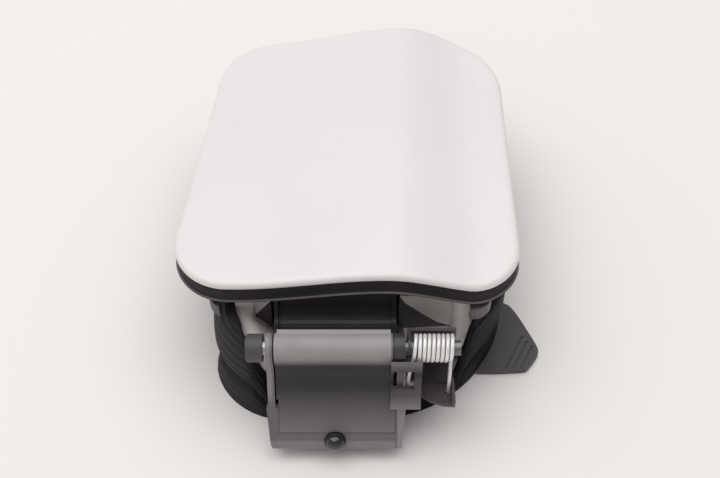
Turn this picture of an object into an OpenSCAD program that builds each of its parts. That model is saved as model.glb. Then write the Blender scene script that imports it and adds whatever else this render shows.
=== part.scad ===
// Charging port door: a painted flap on a gooseneck arm, over a moulded pot with a rubber boot.
// Every sub-part is drawn round the hinge axis (the X axis, +Y into the car side, +Z out of the
// flap) and is moved to the part's frame, which stands on its boot, by the module place().

/* [Flap] */
// Flap width between its two corners beside the hinge
flap_w = 168.5; // [150:0.5:180]
// Flap length, from the hinge side to the far side
flap_l = 177; // [165:0.5:185]
// How far the left edge leans in towards the far side
flap_taper = 18; // [5:0.5:22]
// How much further the far right corner reaches than the far left one
flap_skew = 11; // [0:0.5:14]
// Height of the flap's left surface above the hinge axis
flap_z = 20; // [18:0.5:24]
// Height of the soft crest that runs along the flap
crest_h = 8; // [0:0.5:10]
// Thickness of the painted skin
skin_t = 2.4; // [2:0.1:3]
// Depth of the skin's turned-down edge
skin_edge = 4; // [3:0.5:5]
// Depth of the black lip below the skin's edge
lip_h = 9; // [7:0.5:9.5]

/* [Hinge] */
// Diameter of the steel shaft
shaft_d = 7.2; // [6:0.1:7.4]
// Outside diameter of the barrel of the pocket cover
barrel_d = 13.8; // [13.4:0.1:14]
// Width of the arm where it passes the pot
arm_w = 59.8; // [50:0.1:60]
// Thickness of the arm
arm_t = 3; // [2.5:0.1:3.4]
// Turns of the torsion spring
spring_turns = 8; // [6:1:8]
// Wire diameter of the torsion spring
wire_d = 1.8; // [1.4:0.1:1.8]

/* [Pot] */
// Width of the pot's mouth
pot_w = 124; // [120:1:126]
// Length of the pot's mouth
pot_l = 143; // [140:1:146]
// Wall thickness of the pot
pot_t = 2.5; // [2:0.1:3]
// Width of the opening for the socket
socket_w = 72; // [60:1:76]
// Length of the opening for the socket
socket_l = 118; // [100:1:120]
// Bolt spacing across the socket
bolt_x = 84; // [80:1:86]
// Bolt spacing along the socket
bolt_y = 96; // [90:1:98]

/* [Boot] */
// Height of the hinge axis above the surface that the boot stands on
axis_h = 56; // [54:1:58]
// Thickness of the boot's rubber
boot_t = 2; // [1.5:0.1:2.5]
// Fine ribs round each side of the boot
boot_ribs = 9; // [5:1:10]

/* [Hidden] */

// Colours
white_paint = [0.90, 0.89, 0.89];
black_rubber = [0.10, 0.10, 0.10];
black_gloss = [0.16, 0.15, 0.15];
grey_plastic = [0.42, 0.40, 0.40];
light_grey = [0.55, 0.53, 0.53];
steel = [0.66, 0.66, 0.67];
brass = [0.72, 0.58, 0.32];

// Middle of the whole part in the hinge frame, so that the origin is under the middle of its box
mid_x = 1.85;
mid_y = 86.08;

// Sampling of outlines: points in each corner arc and along each straight edge
arc_n = 7;
edge_n = 9;

// Flap outline: corners from the near left, anticlockwise, and their radii
near_y = 21;
flap_left = -92;
flap_right = flap_left + flap_w;
flap_corners = [
    [flap_left, near_y + 1], [flap_right, near_y - 1.5],
    [flap_right + 1, near_y + flap_l + 6], [flap_left + flap_taper, near_y + flap_l + 6 - flap_skew]
];
flap_radii = [27, 26, 44, 32];
flap_mid = [-5, 110];

// Crest of the flap
crest_x = 18;
crest_slant = 4;
rise_x = -60;
fall_x = 60;

// Hinge stations along X
barrel_x = [-39.7, 15.3];
left_ear_x = [-43.7, -40.4];
right_ear_x = [15.7, 20.7];
cap_x = [-53, -45.1];
lever_x = [22.3, 45];
shaft_x = [-51, 46.8];
ear_r = 7.1;
bush_r = 4.2;
shaft_r = shaft_d / 2;
knuckle_r = 5.2;
fit_gap = 0.05;
barrel_r = barrel_d / 2;
cover_t = 1.3;

// Arm
arm_x = [-42, -42 + arm_w];
arm_front = 31;
arm_floor = -17;
bend_r = 5;
front_r = 9;
arm_pad = [arm_front + arm_t + front_r, 72];
arm_pad_z = flap_z - 6.1;
cheek_h = 2.5;
cheek_t = 2;
cheek_y = 17;

// Torsion spring
coil_r = 5.9;
coil_x = [25.2, 43.3];
coil_steps = 16;
coil_end = 360 * (spring_turns + 0.5) + 22.5;
wire_sides = 8;
left_leg = [22.5, -7.4, -21];
right_leg = [42.2, -8.6, -25.5];

// Pot
pot_left = -63.4;
pot_near = 27;
pot_top = 4;
pot_floor = -50;
floor_t = 2.5;
pot_taper = [2, 7];
pot_r = 14;
flange_out = [[-73, 19], [63.5, 19], [63.5, 187], [-73, 187]];
flange_r = [12, 10, 30, 30];
socket_y = 98.5;
boss_r = 7;
sleeve_r = 4.6;
bolt_r = 3.25;

// Hinge case and cover: the outer face of both, from the barrel to the bottom rim
case_floor = -48.5;
rim_y = -26.5;
rim_z = -47;
panel_t = 2;
case_x = [-43.8, 20.5];
panel_x = [-38.8, 16.9];
panel_end = 0.86;
panel_split = -25;
panel_gap = 0.2;
body_x = [-44.9, 22.1];
body_top = 0.62;
clip_x = -12;
case_screw_x = [-34, -12, 10];
case_screw_z = -34;
case_screw_r = 1.9;
clip_y = rim_y + 1.5;
clip_z = rim_z + 4;
clip_r = 4.4;
clip_wide = 1.16;
clip_stem_y = rim_y + 5;
clip_stem_r = 1.5;

// Boot
boot_collar = [[-65.7, 3], [61.7, 3], [61.7, 186], [-65.7, 186]];
boot_collar_r = [26, 35, 30, 30];
boot_top = [[-70.5, 0], [73, 0], [73, 188], [-70.5, 188]];
boot_top_r = [36, 58, 36, 36];
roof_t = 0.12;
boot_base = [[-75, -5.5], [75, -5.5], [75, 192], [-75, 192]];
boot_base_r = [38, 72, 42, 42];
boot_high = -4;
boot_notch_y = 33;
boot_lip = [
    [-57, boot_high], [-53.5, -6], [-51.7, -13.4], [-50.3, -20.9], [-47.8, -27.5], [-46.4, -29.5], [-45.6, -49.3],
    [42, -49.3], [45, -44], [48.5, -34], [54, -6], [56, boot_high]
];
boot_levels = 26;

// Lock
lock_z = -20;
lock_y = pot_near + pot_l;
lock_pin_r = 3;
pin_x = -6;
lock_x = [-18, 6];
lock_screw_x = [-13, 1];
lock_screw_z = [-9.5, 9.5];
striker_y = [157, 161];
striker_screw_y = [153.5, 166.5];

// Plain helpers
function clamp01(v) = min(1, max(0, v));
function smooth(v) = let (s = clamp01(v)) s * s * (3 - 2 * s);
function mix(a, b, t) = a + (b - a) * t;
function reversed(list) = [for (i = [len(list) - 1:-1:0]) list[i]];
function arc(c, r, a0, a1, n) = [for (i = [0:n]) c + r * [cos(mix(a0, a1, i / n)), sin(mix(a0, a1, i / n))]];

// One rounded corner at p, between neighbours a and b, moved in by inset
function corner_arc(a, p, b, r, inset) =
    let (
        u1 = (a - p) / norm(a - p),
        u2 = (b - p) / norm(b - p),
        half = acos(u1 * u2) / 2,
        c = p + (u1 + u2) / norm(u1 + u2) * r / sin(half),
        t1 = p + u1 * r / tan(half) - c,
        t2 = p + u2 * r / tan(half) - c,
        a0 = atan2(t1[1], t1[0]),
        turn = atan2(t2[1], t2[0]) - a0,
        sweep = turn < -180 ? turn + 360 : turn
    )
    arc(c, r - inset, a0, a0 + sweep, arc_n);

// A closed outline with rounded corners, its straight edges cut into edge_n steps
function outline(corners, radii, inset) =
    let (
        arcs = [for (i = [0:3]) corner_arc(corners[(i + 3) % 4], corners[i], corners[(i + 1) % 4], radii[i], inset)]
    )
    [for (i = [0:3]) each concat(
        arcs[i],
        [for (k = [1:edge_n - 1]) mix(arcs[i][arc_n], arcs[(i + 1) % 4][0], k / edge_n)]
    )];

// Height of the flap's outer surface over the hinge axis
function skin_z(x, y) =
    let (crest = crest_x + crest_slant * (y - flap_mid[1]) / 90)
    flap_z + crest_h * (x < crest ? smooth((x - rise_x) / (crest - rise_x)) : 1 - smooth((x - crest) / (fall_x - crest)));

// A ring of the flap outline: f draws it in towards the middle, drop is its depth below the surface
function flap_ring(f, inset, drop) = [
    for (p = outline(flap_corners, flap_radii, inset))
    let (q = mix(flap_mid, p, f))
    [q[0], q[1], skin_z(q[0], q[1]) - drop]
];

// A solid through rings of equal length: closed at both ends, or joined end to end as a loop
module skin_over(rings, loop = false) {
    n = len(rings[0]);
    m = len(rings);
    function at(i, j) = (i % m) * n + j % n;
    walls = [for (i = [0:loop ? m - 1 : m - 2], j = [0:n - 1]) each [
        [at(i, j), at(i + 1, j), at(i + 1, j + 1)],
        [at(i, j), at(i + 1, j + 1), at(i, j + 1)]
    ]];
    first = middle_of(rings[0]);
    last = middle_of(rings[m - 1]);
    ends = loop ? [] : [for (j = [0:n - 1]) each [
        [m * n, at(0, j), at(0, j + 1)],
        [m * n + 1, at(m - 1, j + 1), at(m - 1, j)]
    ]];
    polyhedron(points = concat([for (r = rings) each r], loop ? [] : [first, last]), faces = concat(walls, ends));
}

function sum_of(list, i = 0) = i >= len(list) ? [0, 0, 0] : list[i] + sum_of(list, i + 1);
function middle_of(ring) = sum_of(ring) / len(ring);

// A cylinder along X from x[0] to x[1] on the hinge axis
module rod_x(x, r) {
    translate([x[0], 0, 0]) rotate([0, 90, 0]) cylinder(h = x[1] - x[0], r = r, $fn = 64);
}

// A YZ profile, drawn as [y, z], made solid from x[0] to x[1]
module slab_x(x) {
    translate([x[0], 0, 0]) rotate([90, 0, 90]) linear_extrude(x[1] - x[0]) children();
}

// An XZ profile, drawn as [x, z], made solid from y[0] to y[1]
module slab_y(y) {
    translate([0, y[1], 0]) rotate([90, 0, 0]) linear_extrude(y[1] - y[0]) children();
}

// A slab with four equal round corners, for the ends of a tapered hull
module round_slab(x, y, z, r, h) {
    translate([0, 0, z])
        for (i = [0:1], j = [0:1])
            translate([x[i] + (i == 0 ? r : -r), y[j] + (j == 0 ? r : -r), 0]) cylinder(h = h, r = r, $fn = 32);
}

// Flap skin: painted shell with a rolled edge
skin_in = [0.15, 0.4, 0.62, 0.84];
module flap_skin() {
    color(white_paint) skin_over(concat(
        [for (f = skin_in) flap_ring(f, 3, skin_t)],
        [flap_ring(1, 3, skin_t), flap_ring(1, 2.2, skin_edge), flap_ring(1, 0.4, skin_edge),
         flap_ring(1, 0, skin_edge - 1), flap_ring(1, 0.6, 0.9), flap_ring(1, 2.2, 0), flap_ring(1, 5, 0)],
        [for (i = [3:-1:0]) flap_ring(skin_in[i], 5, 0)]
    ));
}

// Flap carrier: black inner panel with a rim for the seal and pads for the arm and the striker
carrier_top = skin_t + 1.4;
carrier_t = 2.5;
rim_in = 3.4;
arm_screw_x = [-34, -12, 10];
arm_screw_y = [48, 64];
post_x = [-70, 66];
striker_x = [-14, 2];
striker_pad_y = [150, 170];
// A sheet that follows the flap's wave across X, between two depths below the surface
wave_x = [for (x = [-95:5:85]) x];
module wave_band(top, bottom) {
    slab_y([0, 230]) polygon(concat(
        [for (x = wave_x) [x, skin_z(x, flap_mid[1]) - top]],
        reversed([for (x = wave_x) [x, skin_z(x, flap_mid[1]) - bottom]])
    ));
}
module outline_block(inset) {
    linear_extrude(40) polygon(outline(flap_corners, flap_radii, inset));
}
module flap_carrier() {
    under = carrier_top + carrier_t;
    color(black_rubber) {
        difference() {
            union() {
                intersection() {
                    wave_band(carrier_top, under);
                    outline_block(rim_in);
                }
                intersection() {
                    wave_band(carrier_top, skin_edge + lip_h - 1.6);
                    difference() {
                        outline_block(rim_in);
                        outline_block(rim_in + 2.2);
                    }
                }
                for (x = post_x, y = [70, 110, 150])
                    translate([x, y, flap_z - under - 1]) cylinder(h = under + 1 - skin_t, r = 4, $fn = 32);
                for (x = arm_screw_x, y = arm_screw_y)
                    translate([x, y, arm_pad_z]) cylinder(h = skin_z(x, y) - under - arm_pad_z + 0.8, r = 5, $fn = 32);
                translate([striker_x[0], striker_pad_y[0], arm_pad_z])
                    cube([striker_x[1] - striker_x[0], striker_pad_y[1] - striker_pad_y[0], skin_z(pin_x, 160) - under - arm_pad_z + 0.6]);
            }
            for (x = arm_screw_x, y = arm_screw_y)
                translate([x, y, arm_pad_z - 1]) cylinder(h = 5, r = 1.7, $fn = 32);
            for (y = striker_screw_y)
                translate([pin_x, y, arm_pad_z - 1]) cylinder(h = 5, r = 1.7, $fn = 32);
        }
    }
}

// Flap seal: soft black lip round the flap, flared at its lower edge
module flap_seal() {
    low = skin_edge + lip_h;
    color(black_rubber) skin_over([
        flap_ring(1, rim_in, skin_edge + 0.9), flap_ring(1, rim_in, low - 3), flap_ring(1, 2.6, low - 2.6),
        flap_ring(1, 1.4, low - 0.5), flap_ring(1, -0.7, low), flap_ring(1, -0.9, low - 0.6),
        flap_ring(1, 0.5, low - 3.2), flap_ring(1, 0.7, skin_edge + 2.2), flap_ring(1, 1.2, skin_edge + 0.1)
    ], loop = true);
}

// Gooseneck section: from the outer leg, round the hollow and up to the pad; rib thickens its hollow side
function arm_line(r1, r2, leg_y, floor_z, front_y) = concat(
    arc([leg_y + r1, floor_z + r1], r1, 180, 270, 6),
    arc([front_y - r2, floor_z + r2], r2, 270, 360, 8)
);
module arm_section(rib) {
    out_r = front_r + arm_t;
    outer = arm_line(bend_r + arm_t, out_r, 4, arm_floor - arm_t, arm_front + arm_t);
    inner = arm_line(bend_r - rib, front_r - rib, 4 + arm_t + rib, arm_floor + rib, arm_front - rib);
    pad_c = [arm_pad[0], arm_pad_z - out_r];
    polygon(concat(
        [[1.2 - arm_t / 2, -3.6]], outer,
        arc(pad_c, front_r, 180, 90, 8), [[arm_pad[1], arm_pad_z - arm_t], [arm_pad[1], arm_pad_z]],
        arc(pad_c, out_r, 90, 180, 8),
        [for (i = [len(inner) - 1:-1:0]) inner[i]],
        [[1.2 + arm_t / 2, -3.6]]
    ));
}
module arm_wide(x, rib) {
    slab_x(x) intersection() {
        arm_section(rib);
        translate([cheek_y, -40]) square([80, 80]);
    }
}
module hinge_arm() {
    color(black_gloss) difference() {
        union() {
            rod_x([barrel_x[0] + 0.6, barrel_x[1] - 0.6], knuckle_r);
            slab_x([barrel_x[0] + 0.6, barrel_x[1] - 0.6]) arm_section(0);
            arm_wide(arm_x, 0);
            arm_wide([arm_x[0], arm_x[0] + cheek_t], cheek_h);
            arm_wide([arm_x[1] - cheek_t, arm_x[1]], cheek_h);
            for (x = [-28, -12, 4])
                slab_x([x - 1, x + 1]) polygon([[arm_front + 2, -8], [arm_front + 2, 5], [arm_pad[0] - 4, 8.4], [arm_pad[0] - 3, 3]]);
        }
        rod_x([barrel_x[0] - 1, barrel_x[1] + 1], shaft_r);
        for (x = arm_screw_x, y = arm_screw_y)
            translate([x, y, 0]) cylinder(h = 30, r = 2.1, $fn = 32);
    }
}

// A pan-head screw pointing up, its head's underside at the origin
module screw(shank_r, head_r, length) {
    cylinder(h = length, r = shank_r, $fn = 32);
    difference() {
        translate([0, 0, -head_r * 0.55]) cylinder(h = head_r * 0.55, r = head_r, $fn = 32);
        translate([0, 0, -head_r * 0.55 - 0.1]) cylinder(h = head_r * 0.35, r = head_r * 0.45, $fn = 6);
    }
}
module arm_screws() {
    color(steel) for (x = arm_screw_x, y = arm_screw_y)
        translate([x, y, arm_pad_z - arm_t]) screw(1.7, 3.6, arm_t + 4);
}

module hinge_shaft() {
    color(steel) difference() {
        rod_x(shaft_x, shaft_r);
        translate([shaft_x[1] + 0.5, 0, 0]) rotate([0, 90, 0]) cylinder(h = 2, r = 1.4, center = true, $fn = 32);
    }
}

module shaft_cap() {
    color(black_rubber) difference() {
        union() {
            rod_x([cap_x[0] + 0.8, cap_x[1]], 6.7);
            rod_x([cap_x[0], cap_x[0] + 0.8], 6);
        }
        rod_x([shaft_x[0], cap_x[1] + 1], shaft_r);
    }
}

// Spring lever: a cage round the spring, keyed to the shaft, with the shelf that the spring pushes
lever_back = [8, 9.8];
lever_top = 2.6;
lever_shelf = [-26.3, -24.5];
module spring_lever() {
    plate_l = [lever_x[0], lever_x[0] + 1.5];
    plate_r = [lever_x[1] - 1.6, lever_x[1]];
    color(black_gloss) difference() {
        union() {
            rod_x(plate_l, 5);
            slab_x(plate_l) polygon([[0, 5], [lever_back[1], lever_top], [lever_back[1], lever_shelf[1]], [4, lever_shelf[0]], [3, lever_shelf[0]], [0, -6]]);
            slab_x(plate_r) polygon([[-16, lever_shelf[0]], [-16, lever_shelf[1] + 3.5], [-3, lever_shelf[1] + 3.5], [-1, lever_shelf[0]]]);
            slab_x(lever_x) polygon([
                [lever_back[0], lever_top], [lever_back[1], lever_top], [lever_back[1], lever_shelf[1]], [4, lever_shelf[0]],
                [-2, lever_shelf[0]], [-2, lever_shelf[1]], [lever_back[0], lever_shelf[1]]
            ]);
            translate([0, 0, lever_shelf[0]]) linear_extrude(lever_shelf[1] - lever_shelf[0]) polygon([
                [lever_x[1], -1], [lever_x[1], -16], [39.2, -15.6], [33.2, -13.4], [29, -10.5], [29, -1]
            ]);
            translate([29, -4, lever_shelf[1]]) cube([lever_x[1] - 29, 1.4, 1.6]);
        }
        rod_x([lever_x[0] - 1, lever_x[1] + 1], shaft_r);
        translate([right_leg[0], right_leg[1] + 0.3, -30]) cylinder(h = 10, r = 1.7, $fn = 32);
    }
}

// Striker: a loop below the flap for the lock pin
module striker() {
    x = [striker_x[0] + 1, striker_x[1] - 1];
    color(black_gloss) difference() {
        union() {
            translate([x[0], striker_pad_y[0], arm_pad_z - 3]) cube([x[1] - x[0], striker_pad_y[1] - striker_pad_y[0], 3]);
            slab_y(striker_y) polygon([[x[0], arm_pad_z - 2], [x[0], lock_z - 3], [x[0] + 4, lock_z - 7.5],
                                       [x[1] - 4, lock_z - 7.5], [x[1], lock_z - 3], [x[1], arm_pad_z - 2]]);
        }
        translate([pin_x, striker_y[0] - 1, lock_z]) rotate([-90, 0, 0]) cylinder(h = 6, r = lock_pin_r + 1.6, $fn = 48);
        for (y = striker_screw_y)
            translate([pin_x, y, 0]) cylinder(h = 30, r = 2.1, $fn = 32);
    }
}
module striker_screws() {
    color(steel) for (y = striker_screw_y)
        translate([pin_x, y, arm_pad_z - 3]) screw(1.7, 3, 6);
}

// Pot: tapered bowl, open on the hinge side for the arm and the lever
pot_right = pot_left + pot_w;
module pot_shape(wall, z0, z1) {
    hull() {
        round_slab([pot_left + wall, pot_right - wall], [pot_near + wall, lock_y - wall], z1, pot_r - wall, 0.01);
        round_slab([pot_left + pot_taper[0] + wall, pot_right - pot_taper[1] - wall],
                   [pot_near + wall, lock_y - 3 - wall], z0, pot_r - wall, 0.01);
    }
}
slot = [
    [arm_x[0] - 1, 20], [arm_x[0] - 1, 0], [-51.5, -11.7], [arm_x[0] - 1, -22.5],
    [arm_x[1] + 1, -22.5], [45, -20.1], [38, -17.1], [29.8, -9.6], [21.7, -1.4], [arm_x[1] + 1, 4.5], [arm_x[1] + 1, 20]
];
module bolt_places() {
    for (i = [-1, 1], j = [-1, 1])
        translate([i * bolt_x / 2, socket_y + j * bolt_y / 2, 0]) children();
}
module socket_hole() {
    straight = socket_l - socket_w;
    translate([0, socket_y, pot_floor - 8]) {
        for (j = [-1, 1])
            translate([0, j * straight / 2, 0]) cylinder(h = 20, d = socket_w, $fn = 96);
        translate([-socket_w / 2, -straight / 2, 0]) cube([socket_w, straight, 20]);
    }
}
module pot() {
    color(light_grey) difference() {
        union() {
            difference() {
                pot_shape(0, pot_floor, pot_top);
                pot_shape(pot_t, pot_floor + floor_t, pot_top + 1);
            }
            difference() {
                translate([0, 0, boot_high]) linear_extrude(pot_top - boot_high)
                    polygon(outline(flange_out, flange_r, 0));
                translate([0, 0, boot_high - 1]) linear_extrude(pot_top - boot_high - 2)
                    polygon(outline(flange_out, flange_r, 2.5));
                pot_shape(0.6, pot_floor, pot_top + 1);
                translate([arm_x[0] - 1, 0, -20]) cube([arm_w + 2, 60, 40]);
                translate([-67, 0, -20]) cube([119.5, pot_near, 40]);
            }
            side_flare();
            bolt_places() translate([0, 0, pot_floor]) cylinder(h = floor_t + 3.5, r = boss_r, $fn = 48);
            translate([lock_x[0], lock_y - 3, lock_z - 12]) cube([lock_x[1] - lock_x[0], 5.5, 24]);
        }
        slab_y([pot_near - 1, pot_near + pot_t + 1]) polygon(slot);
        socket_hole();
        for (x = case_screw_x)
            translate([x, pot_near - 1, case_screw_z]) rotate([-90, 0, 0]) cylinder(h = 6, r = case_screw_r, $fn = 32);
        bolt_places() translate([0, 0, pot_floor - 1]) cylinder(h = 12, r = sleeve_r, $fn = 48);
        translate([pin_x, lock_y - pot_t - 8, lock_z]) rotate([-90, 0, 0]) cylinder(h = 16, r = lock_pin_r + 0.5, $fn = 48);
        for (x = lock_screw_x, z = lock_screw_z)
            translate([x, lock_y - 1, lock_z + z]) rotate([-90, 0, 0]) cylinder(h = 8, r = 1.2, $fn = 32);
    }
}

// Flared side wall that leads from the pot to the left cheek of the hinge case
module side_flare() {
    y_end = pot_near + 2.6;
    intersection() {
        translate([0, 0, case_floor]) linear_extrude(45) polygon([
            [-44.6, 6.4], [-46.6, 8], [-50, 11.7], [-53.6, 18], [-58, y_end], [-54.4, y_end], [-50.8, 18.4], [-47.8, 13], [-44.6, 9.4]
        ]);
        slab_x([-60, -40]) polygon([[0, -16], [y_end, -7], [y_end, case_floor], [0, case_floor]]);
    }
}

// Black plates inside the front wall: they close the corners of its slot on both sides of the arm
module slot_plates() {
    color(black_rubber) slab_y([pot_near + pot_t + 1.1, pot_near + pot_t + 2.6]) {
        polygon([[-52.4, -25], [arm_x[0] - 1.2, -25], [arm_x[0] - 1.2, 2], [-52.4, 2]]);
        polygon([[arm_x[1] + 1.2, -25], [45.8, -25], [45.8, -10], [arm_x[1] + 1.2, 3.5]]);
    }
}

module inlet_sleeves() {
    color(brass) bolt_places() translate([0, 0, pot_floor]) difference() {
        cylinder(h = floor_t + 3.5, r = sleeve_r, $fn = 48);
        translate([0, 0, -1]) cylinder(h = floor_t + 6, r = bolt_r, $fn = 48);
    }
}

// Outer face of the pocket, from the front of the barrel to the bottom rim, as YZ points
face_n = 12;
function face(t) = [
    mix(-barrel_r, rim_y, pow(t, 2.1)) - 0.6 * sin(180 * t) + 1.4 * sin(180 * clamp01(t / 0.4)),
    mix(-1.5, rim_z, t)
];
function face_line(t0, t1, back) = [for (i = [0:face_n]) face(mix(t0, t1, i / face_n)) + [back, 0]];

// One side of the hinge case: ear on top, front edge along the pocket's outer face
module cheek(x, rear) {
    slab_x(x) polygon(concat(
        [[rear, 1]], [[-barrel_r, 1]], face_line(0, 1, 0), [[rim_y + 2.5, case_floor], [rear, case_floor]]
    ));
}
module hinge_case() {
    left = [case_x[0], left_ear_x[1]];
    right = [right_ear_x[0] + 1.6, case_x[1]];
    front = panel_end;
    color(grey_plastic) difference() {
        union() {
            rod_x(left_ear_x, ear_r);
            rod_x(right_ear_x, ear_r);
            cheek(left, 7);
            cheek(right, 7);
            slab_x([body_x[0], panel_x[0] - panel_gap]) polygon(concat(face_line(body_top, 1, 0), reversed(face_line(body_top, 1, 2.5))));
            slab_x([panel_x[1] + panel_gap, body_x[1]]) polygon(concat(face_line(body_top, 1, 0), reversed(face_line(body_top, 1, 2.5))));
            slab_x([left[0] + 0.1, right[1]]) polygon(concat(
                face_line(front + 0.01, 1, 0), [[rim_y + 2.5, case_floor], [pot_near, case_floor], [pot_near, case_floor + 2.4],
                [rim_y + 8, case_floor + 2.4]], reversed(face_line(front + 0.01, 0.93, panel_t + 0.4))
            ));
            slab_x([case_x[1] - 1.5, case_x[1] + 1])
                polygon([[3, -12], [pot_near, -21.5], [pot_near, case_floor], [3, case_floor]]);
            slab_y([pot_near - 2, pot_near]) polygon([
                [-49.5, case_floor], [-49.5, -40], [-46, -38], [arm_x[0] - 1, -25], [22, -25], [22, case_floor]
            ]);
        }
        slab_y([-40, 0]) polygon([
            [-60, -28], [body_x[0], -28], [-43.4, -43], [-43, -45.6], [-41.8, -47.4], [-39.8, case_floor], [-39.8, -60], [-60, -60]
        ]);
        slab_y([-40, 0]) polygon([
            [60, -28], [body_x[1], -28], [20.2, -46.2], [19.4, -47.9], [18, case_floor], [18, -60], [60, -60]
        ]);
        for (x = [[left_ear_x[0] - 3, left_ear_x[1] + 1], [right_ear_x[0] - 1, right_ear_x[1] + 1]])
            rod_x(x, bush_r);
        translate([clip_x, clip_y, clip_z]) scale([clip_wide, 1, 1]) sphere(r = clip_r + 0.4, $fn = 48);
        for (x = case_screw_x)
            translate([x, pot_near - 4, case_screw_z]) rotate([-90, 0, 0]) cylinder(h = 8, r = case_screw_r + 0.2, $fn = 32);
        translate([clip_x, clip_stem_y, case_floor - 1]) cylinder(h = 7, r = clip_stem_r, $fn = 32);
    }
}
module case_screws() {
    color(steel) for (x = case_screw_x)
        translate([x, pot_near - 2, case_screw_z]) rotate([-90, 0, 0]) screw(case_screw_r, 3.6, 6);
}

// Pocket cover: barrel over the knuckle, bare panel below it, and the bracket for the spring's end
lip_a = 42;
module cover_profile() {
    in_r = barrel_r - cover_t;
    polygon(concat(
        arc([0, 0], barrel_r, lip_a, 192, 20),
        face_line(0.04, panel_end, 0),
        reversed(face_line(0.12, panel_end, panel_t)),
        reversed(arc([0, 0], in_r, lip_a, 200, 18))
    ));
}
bracket_x = [14.4, 28.8];
window_x = [14, 25.4];
window_z = [-16.6, -4.2];
bracket_top = 1;
module pocket_cover() {
    color(grey_plastic) difference() {
        union() {
            slab_x(barrel_x) intersection() {
                cover_profile();
                translate([-40, panel_split]) square([60, 20 - panel_split]);
            }
            slab_x(panel_x) intersection() {
                cover_profile();
                translate([-40, -60]) square([60, 60.5 + panel_split]);
            }
            slab_x([barrel_x[0] + 1, barrel_x[1] - 1]) polygon([[4, 5.5], [6.6, 5.5], [6.6, 4.8], [4.6, 4.5]]);
            slab_x([bracket_x[0], bracket_x[1]]) polygon([
                [-8.4, bracket_top], [-10.2, bracket_top - 1], [-11.6, -14], [-13, -20], [-16.2, -28], [-14.6, -28.6],
                [-11.1, -20], [-9.4, -14], [-8.4, -8]
            ]);
            slab_x([bracket_x[0], bracket_x[0] + 1.2]) polygon(concat(
                face_line(0.04, 0.52, 0.6), [[-15, -27], [-10.2, bracket_top - 1], [-8.4, bracket_top]]
            ));
        }
        translate([window_x[0], -30, window_z[0]]) cube([window_x[1] - window_x[0], 21.6, window_z[1] - window_z[0]]);
        translate([clip_x, clip_y, clip_z]) scale([clip_wide, 1, 1]) sphere(r = clip_r + 0.4, $fn = 48);
    }
}

module cover_clip() {
    color(black_gloss) {
        translate([clip_x, clip_y, clip_z]) scale([clip_wide, 1, 1]) sphere(r = clip_r, $fn = 64);
        translate([clip_x - 11, rim_y + 3, case_floor - 3.2]) cube([18, 5, 3.2]);
        translate([clip_x, clip_stem_y, case_floor - 2]) cylinder(h = 6, r = clip_stem_r, $fn = 32);
    }
}

module hinge_bushes() {
    color(black_rubber) difference() {
        union() {
            rod_x([left_ear_x[0], left_ear_x[1] + 0.3], bush_r);
            rod_x([right_ear_x[0] - 0.2, right_ear_x[1] + 0.2], bush_r);
        }
        rod_x([left_ear_x[0] - 1, right_ear_x[1] + 1], shaft_r + fit_gap);
    }
}

// Torsion spring: its route, from the leg in the bracket's window, along the coil, to the leg on the lever
function coil_point(a) = [mix(coil_x[0], coil_x[1], a / coil_end) - 0.4 * max(0, 1 - a / 90), -coil_r * cos(a), coil_r * sin(a)];
coil_route = [for (a = [0:360 / coil_steps:coil_end]) coil_point(a)];
spring_route = concat([left_leg, [23.2, -7.2, -11], [23.9, -6.9, -4]], coil_route, [[42.8, -0.3, -11.4], right_leg]);
function unit(v) = v / norm(v);
function heading(route, i) = unit(route[min(i + 1, len(route) - 1)] - route[max(i - 1, 0)]);
function wire_ring(route, i) =
    let (t = heading(route, i), side = unit(cross(t, abs(t[0]) > 0.9 ? [0, 1, 0] : [1, 0, 0])), up = cross(t, side))
    [for (k = [0:wire_sides - 1]) route[i] + wire_d / 2 * (side * cos(360 * k / wire_sides) + up * sin(360 * k / wire_sides))];
module torsion_spring() {
    color(steel) skin_over([for (i = [0:len(spring_route) - 1]) wire_ring(spring_route, i)]);
}

// Boot: rubber bellows from the flange down to its foot; its top dips below the hinge case
function boot_lip_z(p) = p[1] > 40 ? boot_high : lookup(p[0], boot_lip);
function boot_fold(t) = 1.2 * sin(180 * clamp01(t / 0.62)) - 3.4 * exp(-pow((t - 0.64) / 0.07, 2))
    + 0.45 * abs(sin(180 * boot_ribs * t)) * (t > 0.05 && t < 0.95 ? 1 : 0);
function boot_mix(a, b, c, t) = t < roof_t ? mix(a, b, smooth(t / roof_t)) : mix(b, c, (t - roof_t) / (1 - roof_t));
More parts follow.
